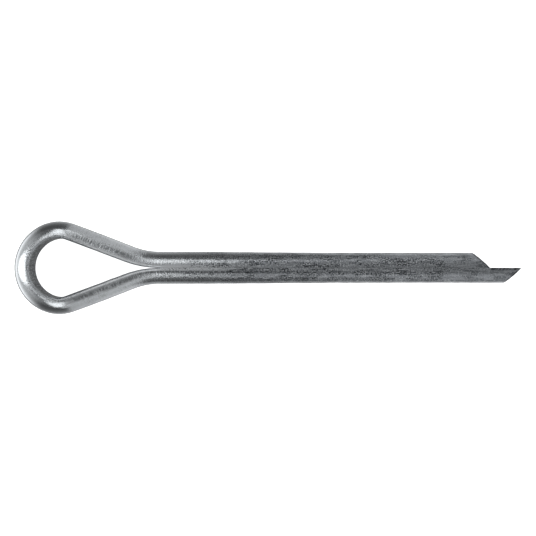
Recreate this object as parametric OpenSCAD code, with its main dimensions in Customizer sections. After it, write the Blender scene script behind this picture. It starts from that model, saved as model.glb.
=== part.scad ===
// Cotter pin: one length of half-round wire, folded into an eye and two legs.
// The legs lie flat to flat and make a round shank along +X. The origin is the point on the
// shank's axis where the legs first meet, the eye lies at -X, and the parting faces stand in
// the XZ plane. The leg on the +Y side is the short one.
// From each leg to the back of the eye the wire is a chain of straight and bent lengths. Each
// one is a hair larger all round than the one before, and that one runs a little way into it.

/* [Shank] */
// Diameter across the two legs where they lie together
shank_d = 4.46; // [3:0.02:6]
// Distance from the point where the legs meet to the tip of the short leg
shank_len = 47.1; // [25:0.1:100]
// How far the long leg reaches past the short one
prong_len = 4.5; // [2:0.1:12]
// Angle between the cut that points a leg and the shank's axis
cut_angle = 45; // [30:1:75]

/* [Wire] */
// Gap between the flat faces of the two legs
leg_gap = 0.12; // [0.1:0.01:0.4]
// Radius that eases the two edges of the wire's flat side
edge_r = 0.4; // [0.1:0.05:0.7]
// How much the wire grows, all round, from each length of it to the next
swell = 0.02; // [0.005:0.005:0.03]
// How far each length of wire runs into the next
lap = 0.05; // [0.02:0.01:0.2]

/* [Eye] */
// Inner radius round the back of the eye, before the growth of the wire takes a little off it
eye_r = 4.4; // [3:0.1:8]
// Inner radius of each shoulder, where the eye turns into a throat leg, before that growth
shoulder_r = 3.5; // [2:0.1:6]
// Angle that each shoulder turns through
shoulder_turn = 47; // [10:1:80]

/* [Throat] */
// Angle between each throat leg and the shank's axis
throat_angle = 20.5; // [14:0.5:35]
// Radius of the flat face through the bend between a throat leg and the shank
throat_r = 13.7; // [7:0.1:25]

/* [Hidden] */
$fn = 128;

shank_r = shank_d / 2;
// Each flat face stands this far from the shank's axis
half_gap = leg_gap / 2;
// Height of the centre of an eased edge above the shank's axis
edge_z = sqrt(pow(shank_r - edge_r, 2) - pow(half_gap + edge_r, 2));
// The easing turns from the flat face at 180 degrees to the round side, in this many facets
edge_end = atan2(edge_z, half_gap + edge_r);
edge_facets = 6;

// Rise of a flat face through the throat bend
bend_rise = throat_r * (1 - cos(throat_angle));
// Direction, seen from the eye's centre, in which a shoulder meets the back of the eye
shoulder_end = 90 - throat_angle + shoulder_turn;
// Offset of a shoulder's centre that puts the eye's centre on the shank's axis
shoulder_y = (eye_r - shoulder_r) * sin(shoulder_end);
// Straight length of a throat leg, from its bend to its shoulder
throat_len = (shoulder_y + shoulder_r * cos(throat_angle) - half_gap - bend_rise) / sin(throat_angle);
// Places along the shank's axis of a shoulder's centre and of the eye's centre
shoulder_x = -(throat_r + shoulder_r) * sin(throat_angle) - throat_len * cos(throat_angle);
eye_x = shoulder_x - (eye_r - shoulder_r) * cos(shoulder_end);

// Point on an eased edge, at an angle round the edge's own centre
function edge_point(radius, angle) = [edge_r + radius * cos(angle), edge_z + radius * sin(angle)];

// Angle that runs the wire one lap further round a bend
function lap_turn(radius) = lap / radius * 180 / PI;

// Half-round section of the wire, grown all round: its flat side faces -X, its round side +X
module wire_section(grow) {
    radius = edge_r + grow;
    easing = [for (i = [0:edge_facets]) edge_point(radius, 180 + (edge_end - 180) * i / edge_facets)];
    // The last facet runs on past the round side, so that it cuts it cleanly
    run_out = easing[edge_facets] - easing[edge_facets - 1];
    upper = [
        for (i = [0:edge_facets]) i < edge_facets ? easing[i] : easing[i] + run_out * shank_d / norm(run_out)
    ];
    lower = [for (i = [edge_facets:-1:0]) [upper[i].x, -upper[i].y]];
    intersection() {
        translate([-half_gap, 0])
            circle(r = shank_r + grow);
        polygon(concat(upper, lower));
    }
}

// Straight wire along +X from the origin, its flat side facing -Y
module straight_wire(length, grow) {
    rotate([90, 0, 90])
        linear_extrude(height = length)
            wire_section(grow);
}

// Wire bent round the origin from one direction through an angle, its flat side inwards
module wire_round(radius, from, turn, grow) {
    rotate_extrude(angle = turn, start = from)
        translate([radius, 0])
            wire_section(grow);
}

// Wire bent round the origin from one direction through an angle, its flat side outwards
module wire_flared(radius, from, turn, grow) {
    rotate_extrude(angle = turn, start = from)
        translate([radius, 0])
            mirror([1, 0])
                wire_section(grow);
}

// Block that takes away everything past the slanting cut of a leg whose tip is at the origin
module point_cut() {
    reach = 2 * shank_d / sin(cut_angle);
    rotate([0, 0, -cut_angle])
        translate([-reach, 0, -shank_d])
            cube([2 * reach, reach, 2 * shank_d]);
}

// One leg with its throat bend, its throat leg and its shoulder, on the +Y side
module leg(length) {
    bend_turn = throat_angle + lap_turn(throat_r);
    translate([0, half_gap, 0])
        difference() {
            translate([-lap, 0, 0])
                straight_wire(length + lap, 0);
            translate([length, 0, 0])
                point_cut();
        }
    translate([0, half_gap + throat_r, 0])
        wire_flared(throat_r, 270 - bend_turn, bend_turn, swell);
    translate([-throat_r * sin(throat_angle), half_gap + bend_rise, 0])
        rotate([0, 0, -throat_angle])
            translate([-throat_len - lap, 0, 0])
                straight_wire(throat_len + lap, 2 * swell);
    translate([shoulder_x, shoulder_y, 0])
        wire_round(shoulder_r, 90 - throat_angle, shoulder_turn + lap_turn(shoulder_r), 3 * swell);
}

// The whole pin: two legs joined round the back of the eye
module split_pin() {
    color([0.62, 0.64, 0.66]) {
        leg(shank_len);
        mirror([0, 1, 0])
            leg(shank_len + prong_len);
        translate([eye_x, 0, 0])
            wire_round(eye_r, shoulder_end, 360 - 2 * shoulder_end, 4 * swell);
    }
}

split_pin();
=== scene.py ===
# Cotter pin: half-round steel wire folded into a teardrop eye and two legs that close into a round
# shank, zinc plated, with one leg longer than the other. All of it is one swept surface.
import math
import bpy
import numpy as np
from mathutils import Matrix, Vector


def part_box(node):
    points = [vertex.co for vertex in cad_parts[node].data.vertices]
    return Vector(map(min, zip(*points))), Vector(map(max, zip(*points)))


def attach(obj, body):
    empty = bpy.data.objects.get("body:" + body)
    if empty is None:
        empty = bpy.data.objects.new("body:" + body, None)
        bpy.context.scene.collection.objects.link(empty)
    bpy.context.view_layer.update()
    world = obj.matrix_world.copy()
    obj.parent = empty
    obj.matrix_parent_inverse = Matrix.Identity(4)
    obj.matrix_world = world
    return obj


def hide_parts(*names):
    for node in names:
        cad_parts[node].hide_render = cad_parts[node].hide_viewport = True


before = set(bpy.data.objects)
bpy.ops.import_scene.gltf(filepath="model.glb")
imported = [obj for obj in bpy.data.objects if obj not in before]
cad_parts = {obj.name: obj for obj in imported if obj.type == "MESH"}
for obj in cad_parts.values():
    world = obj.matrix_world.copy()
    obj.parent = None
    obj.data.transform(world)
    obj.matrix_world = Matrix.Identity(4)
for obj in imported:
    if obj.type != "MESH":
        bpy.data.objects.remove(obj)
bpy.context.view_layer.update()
cadLow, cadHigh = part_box("split_pin")
mm = 0.001  # Blender works in metres, the sizes below are in millimetres
print("frame loaded")


def hexColour(text):
    # sRGB hex to linear RGBA: c / 12.92 below 0.04045, otherwise ((c + 0.055) / 1.055) ^ 2.4
    srgb = [int(text[i:i + 2], 16) / 255 for i in (1, 3, 5)]
    linear = [c / 12.92 if c <= 0.04045 else ((c + 0.055) / 1.055) ** 2.4 for c in srgb]
    return (*linear, 1.0)


def addNode(tree, kind, settings):
    # settings go to the node's own properties by name and to its inputs by name or number;
    # where the value is another node's output socket, the two are linked
    node = tree.nodes.new(kind)
    for key, value in settings.items():
        if isinstance(value, bpy.types.NodeSocket):
            tree.links.new(value, node.inputs[key])
        elif isinstance(key, str) and hasattr(node, key):
            setattr(node, key, value)
        else:
            node.inputs[key].default_value = value
    return node


def smoothStep(value, low, high):
    # 0 below low, 1 above high, 3t^2 - 2t^3 between
    t = np.clip((value - low) / (high - low), 0, 1)
    return t * t * (3 - 2 * t)


pinWire = {
    "radius": 2.23,          # round side of the wire
    "edgeRadius": 0.41,      # easing of the two edges of its flat side along the legs
    "eyeEdgeRadius": 0.15,   # and round the eye, where they were pressed on the mandrel
    "eyeEdgeFrom": (12.5, 16.5),  # mm along -X over which one passes into the other
    "eyeThickness": 2.47,    # flat to round at the back of the eye
    "throatThickness": 2.31,  # the same where the legs meet
    "legThickness": 2.15,    # and from the middle of the shank on
    "thinOver": 30.0,        # length of shank over which it gets that thin
    "thickOver": 9.0,        # length of throat over which it gets thicker towards the eye
    "halfHeight": 2.19,      # half the wire's height, square to the eye
    "eyeRadius": 4.32,       # flat side round the back of the eye
    "shoulderRadius": 3.46,  # flat side where the eye turns into a throat leg
    "shoulderTurn": 47.0,    # degrees
    "throatAngle": 20.5,     # degrees between a throat leg and the shank
    "throatRadius": 13.7,    # flat side where a throat leg turns into the shank
    "throatLength": 9.0,     # first guess of the straight throat leg, mended until the flat sides close
    "bendEase": 0.35,        # length over which one bend passes into the next
    "gap": 0.01,             # between the flat sides of the closed legs
    "seamSlope": 5.0,        # degrees that the edges fall towards the seam where the legs are pressed shut
    "seamSoft": 0.12,        # how gently that fall starts
    "seamFrom": (-1.0, 1.3),  # mm along +X over which the eased edges are pressed into the seam
    "prong": 4.5,            # how far the long leg passes the short one
    "cutAngle": 45.0,        # degrees between the cut of a leg's tip and the shank
    "cutFade": 9.0,          # length of leg over which the rings lean into the cut
    "backProud": 0.1,        # how far the back of the eye stands outside the solid's
    "edgeSkin": (0.7, 1.4),  # parts of an easing's radius over which the skin of the edge ends
    "flatSkin": 0.9,         # part of the flat side's half height inside which it is wholly flat
    "pathPoints": 8000,      # points of the path from the back of the eye to a tip
    "stations": 1290,        # rings along the whole wire
    "around": (56, 5, 6),    # points round the round side, each eased edge and the flat side
    "capRings": (0.97, 0.9, 0.75, 0.55, 0.3, 0.1),  # rings of a cut face, as parts of its rim
}


def wireSection(wire, edge):
    # Half circle on a flat side with eased edges, once round, counter-clockwise from the lower edge.
    # Round side: radius * (cos a, sin a); easing: its own centre + edge * (cos a, sin a).
    # In the closed shank the easing is shallow: it falls by slope * (sqrt(u^2 + soft^2) - soft), with u
    # the distance from where it starts
    radius = wire["radius"]
    roundPoints, edgePoints, flatPoints = wire["around"]
    lift = math.sqrt((radius - edge) ** 2 - edge ** 2)
    join = math.atan2(lift, edge)
    a = np.linspace(-join, join, roundPoints, endpoint=False)
    b = np.linspace(join, math.pi, edgePoints, endpoint=False)
    c = np.linspace(lift, -lift, flatPoints, endpoint=False)
    d = np.linspace(math.pi, 2 * math.pi - join, edgePoints, endpoint=False)
    out = np.concatenate([radius * np.cos(a), edge + edge * np.cos(b), 0 * c, edge + edge * np.cos(d)])
    up = np.concatenate([radius * np.sin(a), lift + edge * np.sin(b), c, -lift + edge * np.sin(d)])
    normalOut = np.concatenate([np.cos(a), np.cos(b), 0 * c - 1, np.cos(d)])
    normalUp = np.concatenate([np.sin(a), np.sin(b), 0 * c, np.sin(d)])
    top = up.max()
    into = np.clip(edge - out, 0, edge)
    fall = math.tan(math.radians(wire["seamSlope"])) * (np.hypot(into, wire["seamSoft"]) - wire["seamSoft"])
    shut = np.where(out < edge, np.sign(up) * (top - fall), up)
    onFlat = np.isclose(normalOut, -1)
    shut[onFlat] = up[onFlat] * (top - fall.max()) / lift
    bulge = onFlat * (1 - (up / lift) ** 2)  # the flats touch along their middle in the closed shank
    skinInner, skinOuter = wire["edgeSkin"]
    edgeSkin = 1 - smoothStep(out, skinInner * edge, skinOuter * edge)
    flatSide = np.where(onFlat, np.where(abs(up) > wire["flatSkin"] * lift, 0.5, 1.0), 0.0)
    return out / radius, up / top, shut / top, bulge, normalOut, normalUp, edgeSkin, flatSide


def halfPath(wire, backX, reach):
    # From the back of the eye along one side: the curvature steps from bend to bend (eased by tanh),
    # the heading is 90 degrees minus its integral, the place is the integral of (cos, sin) of that
    angle = math.radians(wire["throatAngle"])
    shoulder = math.radians(wire["shoulderTurn"])
    closing = wire["throatLength"]
    for attempt in range(2):
        lengths = [wire["eyeRadius"] * (math.pi / 2 + angle - shoulder), wire["shoulderRadius"] * shoulder,
                   closing, wire["throatRadius"] * angle]
        bends = [1 / wire["eyeRadius"], 1 / wire["shoulderRadius"], 0, -1 / wire["throatRadius"], 0]
        ends = np.cumsum(lengths)
        s = np.linspace(0, ends[-1] + reach, wire["pathPoints"])
        curve = np.full(s.shape, bends[0])
        for end, before, after in zip(ends, bends, bends[1:]):
            curve += (after - before) * (0.5 + 0.5 * np.tanh((s - end) / wire["bendEase"]))
        step = s[1] - s[0]
        heading = math.pi / 2 - np.concatenate([[0], np.cumsum(curve[1:] + curve[:-1]) * step / 2])
        run, rise = np.cos(heading), np.sin(heading)
        x = backX + np.concatenate([[0], np.cumsum(run[1:] + run[:-1]) * step / 2])
        y = np.concatenate([[0], np.cumsum(rise[1:] + rise[:-1]) * step / 2])
        closing += (y[-1] - wire["gap"] / 2) / math.sin(angle)
    return s, x, y, heading


def smoothNoise(seed, shape, spacing, grain):
    # White noise blurred by a Gaussian of the given size along and round the wire, unit spread
    noise = np.random.default_rng(seed).standard_normal(shape)
    along = np.fft.fftfreq(shape[0])[:, None] * 2 * math.pi / spacing[0] * grain[0]
    around = np.fft.fftfreq(shape[1])[None, :] * 2 * math.pi / spacing[1] * grain[1]
    soft = np.fft.ifft2(np.fft.fft2(noise) * np.exp(-(along ** 2 + around ** 2) / 2)).real
    return soft / soft.std()


wireSkin = {
    # mm along +X over which the long and the short leg lose their gloss
    "dullFrom": ((-1.0, 16.0), (1.5, 17.0)),
    "marksFrom": (-13.5, -8.0),  # and over which the marks of rolling and closing set in
    # dark lines painted as shade on the long and on the short leg, where the wire mirrors dark parts of the
    # room, broken like rolled marks: mm from the flat side, half width, depth
    "throatScore": ((1.0, 0.3, 0.6), (0.95, 0.3, 0.65)),
    "seamScore": ((0.58, 0.15, 1.0), (0.58, 0.15, 0.5)),
    "rimMarkAndShade": ((1.84, 0.12, 0.7), (1.66, 0.12, 0.4)),
    "linesFrom": (-13.3, -11.5),  # mm along +X over which they start
    "linesShift": (-6.0, 0.0),   # over which the first passes into the others
    "linesTo": (12.0, 24.0),     # and over which the second ends
    "cutLine": (0.3, 1.5),       # half width and depth of the painted shade round a cut and along the prong's bare edge
    "pitsFrom": ((-3.0, 5.0), (1.5, 7.0)),  # mm along +X over which stained pits set in on each
    "tipFrom": (36.0, 45.0),     # mm along +X over which they grow fewer again
    "tipShare": 0.4,             # how much fewer
    "crownFrom": (1.3, 2.1),     # mm from the flat side over which the legs are rubbed smoother
    "crownShare": 0.45,          # share of the pits lost there
    "eyeRim": (0.6, 0.9, 0.12),  # mm from the flat side, share of pits there and on the rest of the eye
    "eyeTo": (-14.0, -8.0),      # mm along +X over which they end
    "calm": (1.5, 6.5, 0.8),     # mm along +X, half length and share taken off of the smoother stretch
    # mm along and round the wire, mm deep, seed of the noise
    "waves": (2.4, 0.5, 0.006, 3),    # slow unevenness left by drawing and folding
    "dents": (0.55, 0.35, 0.005, 4),  # dents and scuffs of the legs
    "pits": (0.22, 0.17, 0.005, 5),   # the pickled and plated skin of the legs
}


def scoredLines(skin, px, side, tips, outMm):
    # Dark lines painted along the legs as shade, where the wire mirrors dark parts of the room:
    # depth * exp(-((out - middle) / half width)^2), the first on the throat and the others on the shank
    onShank = smoothStep(px, *skin["linesShift"])[:, None]
    lines = []
    for name in ("throatScore", "seamScore", "rimMarkAndShade"):
        middle, halfWidth, depth = [np.where(side < 0, *pair)[:, None] for pair in zip(*skin[name])]
        lines.append(depth * np.exp(-((outMm - middle) / halfWidth) ** 2))
    throatScore = lines[0] * smoothStep(px, *skin["linesFrom"])[:, None]
    seamScore = lines[1] * (1 - smoothStep(px, *skin["linesTo"]))[:, None]
    score = throatScore * (1 - onShank) + np.maximum(seamScore, lines[2]) * onShank
    # and painted shade round the cuts and along the prong's bare edge: exp(-(distance / half width)^2)
    halfWidth, depth = skin["cutLine"]
    tip = np.where(side < 0, *tips)
    cutLine = np.exp(-((tip - px) / halfWidth) ** 2)[:, None]
    bareEdge = smoothStep(px, tips[1], tips[1] + halfWidth)[:, None] * np.exp(-(outMm / halfWidth) ** 2)
    return np.maximum(score, depth * np.maximum(cutLine, bareEdge))


def skinRelief(skin, px, shape, spacing):
    # Height over the clean wire in mm: waves everywhere, dents and pits where the legs were marked
    calmAt, calmOver, calmShare = skin["calm"]
    marks = smoothStep(px, *skin["marksFrom"]) * (1 - calmShare * np.exp(-((px - calmAt) / calmOver) ** 2))
    marks = marks[:, None]
    height = 0
    for name, share in (("waves", 1), ("dents", marks), ("pits", marks)):
        *size, depth, seed = skin[name]
        height = height + share * depth * smoothNoise(seed, shape, spacing, size)
    return height


def closedTube(points, draws):
    # Rings joined one to the next, each end closed by rings drawn in towards the middle of the last one:
    # middle + (ring - middle) * draw. Gives the vertices and the corners of quads and of both fans
    draws = np.array(draws)[:, None, None]
    middles = points[0].mean(axis=0), points[-1].mean(axis=0)
    startCap = middles[0] + (points[0] - middles[0]) * draws
    endCap = middles[1] + (points[-1] - middles[1]) * draws
    grid = np.concatenate([startCap[::-1], points, endCap])
    rings, ringPoints = grid.shape[:2]
    vertices = np.concatenate([grid.reshape(-1, 3), middles])
    i = np.arange(rings - 1)[:, None] * ringPoints
    j = np.arange(ringPoints)[None, :]
    k = (j + 1) % ringPoints
    quads = np.stack([i + j, i + k, i + ringPoints + k, i + ringPoints + j], axis=-1).reshape(-1, 4)
    hub, lastRing = rings * ringPoints, (rings - 1) * ringPoints
    startFan = np.stack([0 * j[0] + hub, k[0], j[0]], axis=-1)
    endFan = np.stack([0 * j[0] + hub + 1, lastRing + j[0], lastRing + k[0]], axis=-1)
    return vertices, quads, np.concatenate([startFan, endFan])


def makePin(wire, skin):
    # Surface: place(s) + across(s) * out(p) * thickness(s) + up * up(p) * halfHeight, with p round the
    # section and s along the wire from the long tip through the eye to the short tip
    backX = cadLow.x / mm + wire["eyeThickness"] - wire["backProud"]
    tips = cadHigh.x / mm, cadHigh.x / mm - wire["prong"]
    s, x, y, heading = halfPath(wire, backX, tips[0])
    legs = x > 0
    sLong, sShort = np.interp(tips, x[legs], s[legs])
    station = np.linspace(-sLong, sShort, wire["stations"])
    side = np.where(station < 0, -1.0, 1.0)
    px, py = np.interp(abs(station), s, x), side * np.interp(abs(station), s, y)
    turned = np.interp(abs(station), s, heading)
    acrossX, acrossY = -np.sin(turned), side * np.cos(turned)
    tip = np.where(side < 0, *tips)

    # thick in the eye, thin in the shank, where it falls by half a cosine wave
    thick = smoothStep(-px, 0, wire["thickOver"])
    slim = 0.5 - 0.5 * np.cos(math.pi * np.clip(px / wire["thinOver"], 0, 1))
    thickness = wire["throatThickness"] + (wire["eyeThickness"] - wire["throatThickness"]) * thick
    thickness = thickness + (wire["legThickness"] - wire["throatThickness"]) * slim

    onLegs = wireSection(wire, wire["edgeRadius"])
    inEye = wireSection(wire, wire["eyeEdgeRadius"])
    formed = smoothStep(-px, *wire["eyeEdgeFrom"])[:, None]
    out, up, shut, bulge, normalOut, normalUp, edgeSkin, flatSide = [
        leg + (eye - leg) * formed for leg, eye in zip(onLegs, inEye)]
    closed = smoothStep(px, *wire["seamFrom"])[:, None]
    outMm = out * thickness[:, None] - bulge * closed * wire["gap"] / 2
    upMm = (up * (1 - closed) + shut * closed) * wire["halfHeight"]
    # the cut of each tip leans back with the distance from the flat side
    lean = smoothStep(px, tip - wire["cutFade"], tip) * (px > 0)
    back = outMm / math.tan(math.radians(wire["cutAngle"])) * lean[:, None]

    # dark lines of painted shade along the legs and round the cuts, where the wire mirrors dark parts of
    # the room
    score = scoredLines(skin, px, side, tips, outMm)
    # how many pits the eye has, more on its inner rim, and how many the crown of the legs keeps
    rimWidth, rimShare, restShare = skin["eyeRim"]
    eyePits = restShare + (rimShare - restShare) * np.exp(-(outMm / rimWidth) ** 2)
    eyePits = eyePits * (1 - smoothStep(px, *skin["eyeTo"]))[:, None]
    crown = 1 - skin["crownShare"] * smoothStep(outMm, *skin["crownFrom"])

    around = np.stack(onLegs[:2])
    steps = np.hypot(*(np.roll(around, -1, axis=1) - around)) * wire["radius"]
    perimeter = np.concatenate([[0], np.cumsum(steps[:-1])])
    girth = steps.sum()
    shape = outMm.shape
    spacing = (station[1] - station[0], girth / shape[1])
    relief = skinRelief(skin, px, shape, spacing) * (1 - flatSide * closed)
    outMm = outMm + relief * normalOut
    upMm = upMm + relief * normalUp

    points = np.empty((*shape, 3))
    points[..., 0] = px[:, None] + acrossX[:, None] * outMm - back
    points[..., 1] = py[:, None] + acrossY[:, None] * outMm
    points[..., 2] = upMm

    vertices, quads, fans = closedTube(points, wire["capRings"])
    mesh = bpy.data.meshes.new("zincPlatedPin")
    mesh.from_pydata(vertices * mm, [], quads.tolist() + fans.tolist())
    mesh.polygons.foreach_set("use_smooth", np.ones(len(mesh.polygons), bool))

    # UV map in millimetres along and round the wire; the cut faces take their own plane
    capRings, ringPoints = len(wire["capRings"]), shape[1]
    alongMm = np.concatenate([np.full(capRings, station[0]), station, np.full(capRings, station[-1])])
    quadU = np.repeat(alongMm, ringPoints)[quads]
    quadV = np.tile(perimeter, len(alongMm))[quads]
    wraps = quadV.max(axis=1) - quadV.min(axis=1) > girth / 2
    quadV[wraps] = np.where(quadV[wraps] == 0, girth, quadV[wraps])
    ringOf = quads[:, 0] // ringPoints
    inCap = (ringOf < capRings) | (ringOf >= len(alongMm) - 1 - capRings)
    quadU[inCap] = vertices[quads[inCap], 1]
    quadV[inCap] = vertices[quads[inCap], 2]
    u = np.concatenate([quadU.ravel(), vertices[fans, 1].ravel()])
    v = np.concatenate([quadV.ravel(), vertices[fans, 2].ravel()])
    layer = mesh.uv_layers.new(name="wire")
    layer.data.foreach_set("uv", np.stack([u, v], axis=-1).astype(np.float32).ravel())

    def perVertex(values, onCuts=0):
        # a value of each point of the wire, and one for the cut faces
        padded = np.pad(values, ((capRings, capRings), (0, 0)), constant_values=onCuts)
        return np.append(padded, (onCuts, onCuts))

    # what the material needs to know of each vertex; a cut face is neither edge nor flat
    vertexX, onLong = vertices[:, 0], vertices[:, 1] < 0
    dullFrom, pitsFrom = [[np.where(onLong, *ends) for ends in zip(*skin[name])]
                          for name in ("dullFrom", "pitsFrom")]
    fewer = perVertex(crown, 1) * (1 - skin["tipShare"] * smoothStep(vertexX, *skin["tipFrom"]))
    marked = {
        "dullness": smoothStep(vertexX, *dullFrom),
        "marks": smoothStep(vertexX, *skin["marksFrom"]),
        "pitting": smoothStep(vertexX, *pitsFrom) * fewer + perVertex(eyePits),
        "edgeSkin": perVertex(edgeSkin),
        "flatSide": perVertex(flatSide),
        "scoreLine": perVertex(score),
        "cutFace": perVertex(0 * out, 1),
    }
    for name, values in marked.items():
        layer = mesh.attributes.new(name, "FLOAT", "POINT")
        layer.data.foreach_set("value", values.astype(np.float32))
    mesh.validate()
    mesh.update()
    pin = bpy.data.objects.new("cotterPin", mesh)
    bpy.context.collection.objects.link(pin)
    return pin


zincLook = {
    "bright": "#CDD1D4",      # clean plate
    "dull": "#A0A4A9",        # plate gone grey on the legs
    "cloud": "#797D81",       # where it is darkest
    "stainAndShade": "#393C40",       # its pits and stains, and the painted shade of the dark lines along the legs and round the cuts
    "burnished": "#D3D6D9",   # edges along the throat, where the closing rolls ran
    "edge": "#B8BCC0",        # and round the eye, scuffed
    "flat": "#777B7F",        # flat side, thinly plated over the skin of rolling
    "shear": "#8E9195",       # cut faces, where the plate only bridges torn steel
    "eyeRoughness": 0.17,
    "throatRoughness": 0.2,
    "legRoughness": 0.28,
    "edgeRoughness": 0.34,
    "flatRoughness": 0.3,
    "cutRoughness": 0.5,
    # patterns, by the size of their cells in mm along and round the wire
    "grain": (0.22, 0.2),     # pits; the real ones are finer and don't show
    "chatter": (0.24, 1.2),   # marks of the closing rolls
    "streak": (1.9, 0.22),    # drawing lines; the real ones are finer too
    "patch": (2.6, 1.0),      # where the skin is more or less worn
    # where a pattern or place counts: source, from, to, lowest, highest
    "ranges": {
        "pits": ("grain", 0.47, 0.43, 0.0, 1.0),
        "scores": ("streak", 0.45, 0.33, 0.0, 0.9),
        "flecks": ("grain", 0.56, 0.6, 0.0, 1.0),
        "rubs": ("streak", 0.56, 0.7, 0.0, 1.0),
        "worn": ("patch", 0.4, 0.56, 0.25, 1.0),
        "clouds": ("patch", 0.46, 0.6, 0.0, 0.7),
        "broken": ("chatter", 0.4, 0.54, 0.15, 1.0),
        "nicks": ("chatter", 0.52, 0.42, 0.0, 1.0),
        "glints": ("chatter", 0.54, 0.62, 0.0, 0.7),
        "pressed": ("flatSide", 0.0, 1.0, 0.0, 0.6),
    },
    "reliefDepth": 0.1,       # mm from a pattern's 0 to its 1, of which it uses about a third
    "reliefStrength": (0.06, 0.65),  # share of that on the eye and on the legs
    "reliefStreaks": 0.3,     # part that drawing lines have in its lines, the rest is chatter
    "reliefLines": 0.5,       # part that those lines have in the relief, the rest is grain
}


def zincPlatedSteel(look):
    # Bright electroplated zinc over drawn steel wire: a grey metal with a cool cast, mirror-like where
    # the eye was formed over a mandrel, dull, streaked and finely pitted along the legs, rough and dark
    # on its flat side and at the sheared tips
    material = bpy.data.materials.new("zincPlatedSteel")
    material.use_nodes = True
    tree = material.node_tree
    surface = tree.nodes["Principled BSDF"]
    surface.inputs["Metallic"].default_value = 1.0
    uv = addNode(tree, "ShaderNodeUVMap", {"uv_map": "wire"}).outputs[0]
    part = {}  # what the mesh and the patterns give, by name
    for name in ("dullness", "marks", "pitting", "edgeSkin", "flatSide", "cutFace", "scoreLine"):
        part[name] = addNode(tree, "ShaderNodeAttribute", {"attribute_name": name}).outputs["Fac"]

    # each pattern is noise stretched to its size in mm, on the map along and round the wire
    for name in ("grain", "chatter", "streak", "patch"):
        along, around = look[name]
        place = addNode(tree, "ShaderNodeMapping", {"Scale": (1 / along, 1 / around, 1), "Vector": uv})
        noise = addNode(tree, "ShaderNodeTexNoise", {"Scale": 1.0, "Detail": 2.0, "Roughness": 0.5,
                                                     "Vector": place.outputs[0]})
        part[name] = noise.outputs["Fac"]
    for name, (source, start, end, lowest, highest) in look["ranges"].items():
        node = addNode(tree, "ShaderNodeMapRange", {0: part[source], 1: start, 2: end,
                                                    3: lowest, 4: highest})
        part[name] = node.outputs[0]

    # how the parts go together: (name, operation, two parts)
    for name, operation, first, second in (
            ("dark", "MAXIMUM", "pits", "scores"), ("dark", "MULTIPLY", "dark", "worn"),
            ("skin", "MAXIMUM", "pitting", "pressed"), ("dark", "MULTIPLY", "dark", "skin"),
            # the lines of painted shade take the stain colour, broken by the chatter pattern
            ("scored", "MULTIPLY", "scoreLine", "broken"), ("dark", "MAXIMUM", "dark", "scored"),
            ("nicked", "MULTIPLY", "nicks", "pressed"), ("dark", "MAXIMUM", "dark", "nicked"),
            ("light", "MAXIMUM", "flecks", "rubs"), ("light", "MULTIPLY", "light", "pitting"),
            ("glinting", "MULTIPLY", "glints", "pressed"), ("light", "MAXIMUM", "light", "glinting"),
            ("clouds", "MULTIPLY", "clouds", "dullness"),
            ("scuffed", "SUBTRACT", "edgeSkin", "marks"), ("rolled", "SUBTRACT", "edgeSkin", "dullness"),
            ("rough", "MAXIMUM", "marks", "flatSide"), ("rough", "MAXIMUM", "rough", "pitting"),
            ("rough", "MULTIPLY", "rough", "worn")):
        node = addNode(tree, "ShaderNodeMath", {"operation": operation, "use_clamp": True,
                                                0: part[first], 1: part[second]})
        part[name] = node.outputs[0]

    # skins laid one over another: (where, colour, roughness)
    colour, roughness = hexColour(look["bright"]), look["eyeRoughness"]
    skins = (
        ("marks", "bright", "throatRoughness"),
        ("dullness", "dull", "legRoughness"),
        ("clouds", "cloud", "legRoughness"),
        ("rolled", "burnished", "edgeRoughness"),
        ("scuffed", "edge", "edgeRoughness"),
        ("flatSide", "flat", "flatRoughness"),
        ("light", "bright", "legRoughness"),
        ("cutFace", "shear", "cutRoughness"),
        ("dark", "stainAndShade", "legRoughness"),
    )
    for where, tint, finish in skins:
        colour = addNode(tree, "ShaderNodeMix", {"data_type": "RGBA", 0: part[where], 6: colour,
                                                 7: hexColour(look[tint])}).outputs[2]
        roughness = addNode(tree, "ShaderNodeMix", {"data_type": "FLOAT", 0: part[where], 2: roughness,
                                                    3: look[finish]}).outputs[0]

    lines = addNode(tree, "ShaderNodeMix", {"data_type": "FLOAT", 0: look["reliefStreaks"],
                                            2: part["chatter"], 3: part["streak"]})
    height = addNode(tree, "ShaderNodeMix", {"data_type": "FLOAT", 0: look["reliefLines"],
                                             2: part["grain"], 3: lines.outputs[0]})
    low, high = look["reliefStrength"]
    strength = addNode(tree, "ShaderNodeMapRange", {0: part["rough"], 3: low, 4: high})
    bump = addNode(tree, "ShaderNodeBump", {"Distance": look["reliefDepth"] * mm,
                                            "Height": height.outputs[0], "Strength": strength.outputs[0]})
    tree.links.new(colour, surface.inputs["Base Color"])
    tree.links.new(roughness, surface.inputs["Roughness"])
    tree.links.new(bump.outputs[0], surface.inputs["Normal"])
    return material


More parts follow.
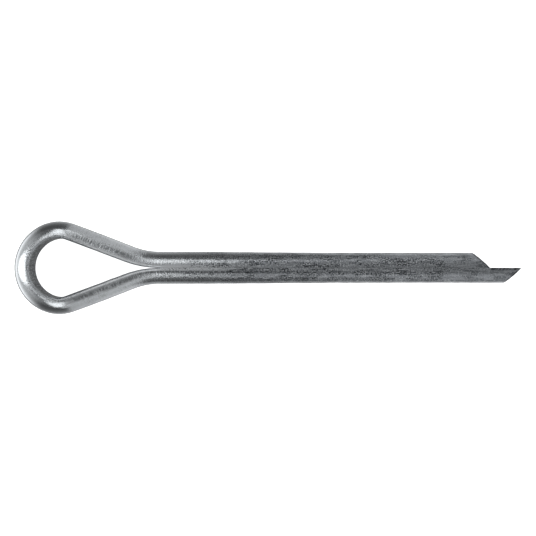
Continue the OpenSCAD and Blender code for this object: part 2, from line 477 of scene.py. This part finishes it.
studio = {
    # level soft boxes: mm above the pin, then for each mm of that height their middle along X and Y and
    # their size along X and Y, turn in degrees, radiance
    "overhead": {
        "topSide": (900, -0.3, 1.09, 0.36, 1.04, 0, 1.45),
        "topInner": (900, -0.262, 0.4, 0.13, 0.36, -15, 1.5),
        "topCorner": (900, -0.42, 0.4, 0.13, 0.36, 32, 0.95),
        "topNear": (150, -0.043, 1.31, 0.17, 1.16, 0, 0.7),
        "topTips": (150, 0.533, 1.35, 0.4, 1.2, 0, 0.21),
        "topEnd": (900, 0.15, 1.95, 0.1, 1.1, -8, 1.4),
        "lowSide": (150, -0.458, -1.358, 0.5, 1.25, 0, 1.5),
        "lowCorner": (900, -0.44, -0.48, 0.18, 0.3, 30, 1.0),
        "lowFar": (900, -0.045, -1.7, 0.22, 1.7, 0, 0.34),
        "lowTips": (150, 0.533, -1.62, 0.467, 1.55, 0, 0.25),
        "lowEnd": (900, 0.15, -1.95, 0.1, 1.1, 8, 0.9),
        "lowRim": (900, -0.07, -3.25, 0.49, 1.3, 0, 0.77),
    },
    # round soft box behind the eye: mm away, degrees from straight up towards -X, width and height in
    # degrees, radiance
    "behindEye": (900, 58, 31, 54, 1.55),
    "floorRadius": 1800.0,   # mm
    "floorTurnUp": 1000.0,   # mm, radius of the sweep at its rim
    "floorRings": (8, 12),   # rings of the disc and of the sweep
    "floorPoints": 96,       # points of each ring
    "floorColour": "#F4F5F5",
    "floorRoughness": 0.9,
    "floorGlow": 1.08,
}


def softBox(name, shape, sizes, place, turn, radiance):
    # radiance of a flat light to its watts: radiance * pi * area
    light = bpy.data.lights.new(name, "AREA")
    light.shape = shape
    light.size, light.size_y = sizes
    share = math.pi / 4 if shape == "ELLIPSE" else 1
    light.energy = radiance * math.pi * light.size * light.size_y * share
    box = bpy.data.objects.new(name, light)
    box.location = place
    box.rotation_euler = turn
    box.visible_camera = False
    bpy.context.collection.objects.link(box)


def makeLights(look):
    # the overhead boxes hang level and look straight down, the round one looks at the pin
    for name, (height, x, y, width, length, turn, radiance) in look["overhead"].items():
        up = height * mm
        softBox(name, "RECTANGLE", (width * up, length * up), (x * up, y * up, up),
                (0, 0, math.radians(turn)), radiance)
    away, tilt, width, height, radiance = look["behindEye"]
    sizes = [2 * away * mm * math.tan(math.radians(degrees) / 2) for degrees in (height, width)]
    tilt = math.radians(tilt)
    place = Vector((-math.sin(tilt), 0, math.cos(tilt))) * away * mm
    softBox("behindEye", "ELLIPSE", sizes, place, (0, -tilt, 0), radiance)


def makeStage(look):
    # Paper sweep: a disc whose rim turns up in a quarter circle, radius + turn * sin t, turn * (1 - cos t)
    discRings, sweepRings = look["floorRings"]
    disc = np.linspace(0, 1, discRings + 1)[1:] * look["floorRadius"]
    t = np.linspace(0, math.pi / 2, sweepRings + 1)[1:]
    radii = np.concatenate([disc, look["floorRadius"] + look["floorTurnUp"] * np.sin(t)]) * mm
    heights = np.concatenate([0 * disc, look["floorTurnUp"] * (1 - np.cos(t))]) * mm + cadLow.z
    a = np.linspace(0, 2 * math.pi, look["floorPoints"], endpoint=False)
    ring = np.stack([np.outer(radii, np.cos(a)), np.outer(radii, np.sin(a)),
                     np.repeat(heights[:, None], len(a), axis=1)], axis=-1)
    vertices = np.concatenate([ring.reshape(-1, 3), [(0, 0, cadLow.z)]])
    i = np.arange(len(radii) - 1)[:, None] * len(a)
    j = np.arange(len(a))[None, :]
    k = (j + 1) % len(a)
    quads = np.stack([i + j, i + len(a) + j, i + len(a) + k, i + k], axis=-1).reshape(-1, 4)
    fan = np.stack([0 * j[0] + ring.size // 3, j[0], k[0]], axis=-1)
    mesh = bpy.data.meshes.new("paperSweep")
    mesh.from_pydata(vertices, [], quads.tolist() + fan.tolist())
    mesh.polygons.foreach_set("use_smooth", np.ones(len(mesh.polygons), bool))
    floor = bpy.data.objects.new("floor", mesh)
    bpy.context.collection.objects.link(floor)
    material = bpy.data.materials.new("palePaper")
    material.use_nodes = True
    surface = material.node_tree.nodes["Principled BSDF"]
    surface.inputs["Base Color"].default_value = hexColour(look["floorColour"])
    surface.inputs["Roughness"].default_value = look["floorRoughness"]
    surface.inputs["Specular IOR Level"].default_value = 0.0
    surface.inputs["Emission Color"].default_value = hexColour(look["floorColour"])
    surface.inputs["Emission Strength"].default_value = look["floorGlow"]
    mesh.materials.append(material)
    floor.visible_glossy = False  # the pin mirrors the studio's tones instead
    floor.visible_shadow = False


# Tones of the room as (degrees from straight up, radiance), for the two long sides and for the walls; a
# wall takes over where the cosine from +X passes its two bounds
room = {
    "longSides": ([(0, 0.35), (8, 0.55), (14, 0.55), (22, 0.32), (32, 0.2), (45, 0.082), (60, 0.13),
                   (75, 0.075), (90, 0.11), (105, 0.17), (120, 0.26), (135, 0.5), (150, 0.65),
                   (160, 0.2), (180, 0.1)], None),
    "wallPlusX": ([(0, 0.27), (20, 0.22), (45, 0.18), (60, 0.36), (75, 0.72), (90, 0.61), (105, 0.64),
                   (120, 0.72), (135, 0.9), (150, 0.6), (164, 0.14), (180, 0.1)], (0.01, 0.17)),
    "farPlusX": ([(0, 0.26), (18, 0.24), (28, 0.6), (60, 0.9), (150, 0.9), (164, 0.14), (180, 0.1)],
                 (0.5, 0.8)),
    "wallMinusX": ([(0, 0.32), (6, 0.4), (12, 0.38), (18, 0.36), (25, 0.57), (34, 0.35), (45, 0.53),
                    (60, 0.63), (75, 0.6), (90, 0.83), (104, 1.4), (114, 1.7), (122, 0.8), (135, 0.32),
                    (160, 0.25), (180, 0.1)], (-0.58, -0.94)),
}


def makeWorld(tones):
    # one ramp for each set of tones, over (1 + cosine of the angle from straight up) / 2; a wall's ramp
    # takes over from those before it where the X of the level direction passes its two bounds
    world = bpy.data.worlds.new("studioRoom")
    bpy.context.scene.world = world
    world.use_nodes = True
    tree = world.node_tree
    tree.nodes.clear()
    direction = addNode(tree, "ShaderNodeTexCoord", {}).outputs["Generated"]
    split = addNode(tree, "ShaderNodeSeparateXYZ", {0: direction})
    height = addNode(tree, "ShaderNodeMapRange", {"From Min": -1.0, "Value": split.outputs[2]})
    level = addNode(tree, "ShaderNodeCombineXYZ", {0: split.outputs[0], 1: split.outputs[1]})
    unit = addNode(tree, "ShaderNodeVectorMath", {"operation": "NORMALIZE", 0: level.outputs[0]})
    facing = addNode(tree, "ShaderNodeSeparateXYZ", {0: unit.outputs[0]}).outputs[0]
    for stops, bounds in tones.values():
        ramp = addNode(tree, "ShaderNodeValToRGB", {"Fac": height.outputs[0]})
        elements = ramp.color_ramp.elements
        while len(elements) < len(stops):
            elements.new(0.5)
        for element, (degrees, grey) in zip(elements, reversed(stops)):
            element.position = (math.cos(math.radians(degrees)) + 1) / 2
            element.color = (grey, grey, grey, 1)
        if bounds is None:
            tone = ramp.outputs[0]
            continue
        wall = addNode(tree, "ShaderNodeMapRange", {"interpolation_type": "SMOOTHSTEP", "Value": facing,
                                                    "From Min": bounds[0], "From Max": bounds[1]})
        tone = addNode(tree, "ShaderNodeMix", {"data_type": "RGBA", 0: wall.outputs[0], 6: tone,
                                               7: ramp.outputs[0]}).outputs[2]
    background = addNode(tree, "ShaderNodeBackground", {"Color": tone})
    addNode(tree, "ShaderNodeOutputWorld", {"Surface": background.outputs[0]})


camera = {
    "aim": (15.65, -0.03),  # mm, the point straight below the lens
    "height": 132.8,        # mm above the shank's axis
    "frameWidth": 77.18,    # mm across the picture at the height of the axis
    "sensor": 36.0,
    "clip": (0.01, 20.0),   # m, nearest and farthest that it sees
}


def makeCamera(view):
    # looks straight down; focal length = sensor * height / width of the picture at that distance
    data = bpy.data.cameras.new("camera")
    data.sensor_width = view["sensor"]
    data.lens = view["sensor"] * view["height"] / view["frameWidth"]
    data.clip_start, data.clip_end = view["clip"]
    lens = bpy.data.objects.new("camera", data)
    lens.location = (view["aim"][0] * mm, view["aim"][1] * mm, view["height"] * mm)
    bpy.context.collection.objects.link(lens)
    bpy.context.scene.camera = lens


makeCamera(camera)
makeWorld(room)
makeStage(studio)
makeLights(studio)
print("camera, room, stage and lights made")
pin = makePin(pinWire, wireSkin)
pin.data.materials.append(zincPlatedSteel(zincLook))
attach(pin, "root")
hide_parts("split_pin")
print("pin made:", len(pin.data.vertices), "vertices,", len(pin.data.polygons), "faces")
bpy.context.scene.view_settings.view_transform = "Standard"
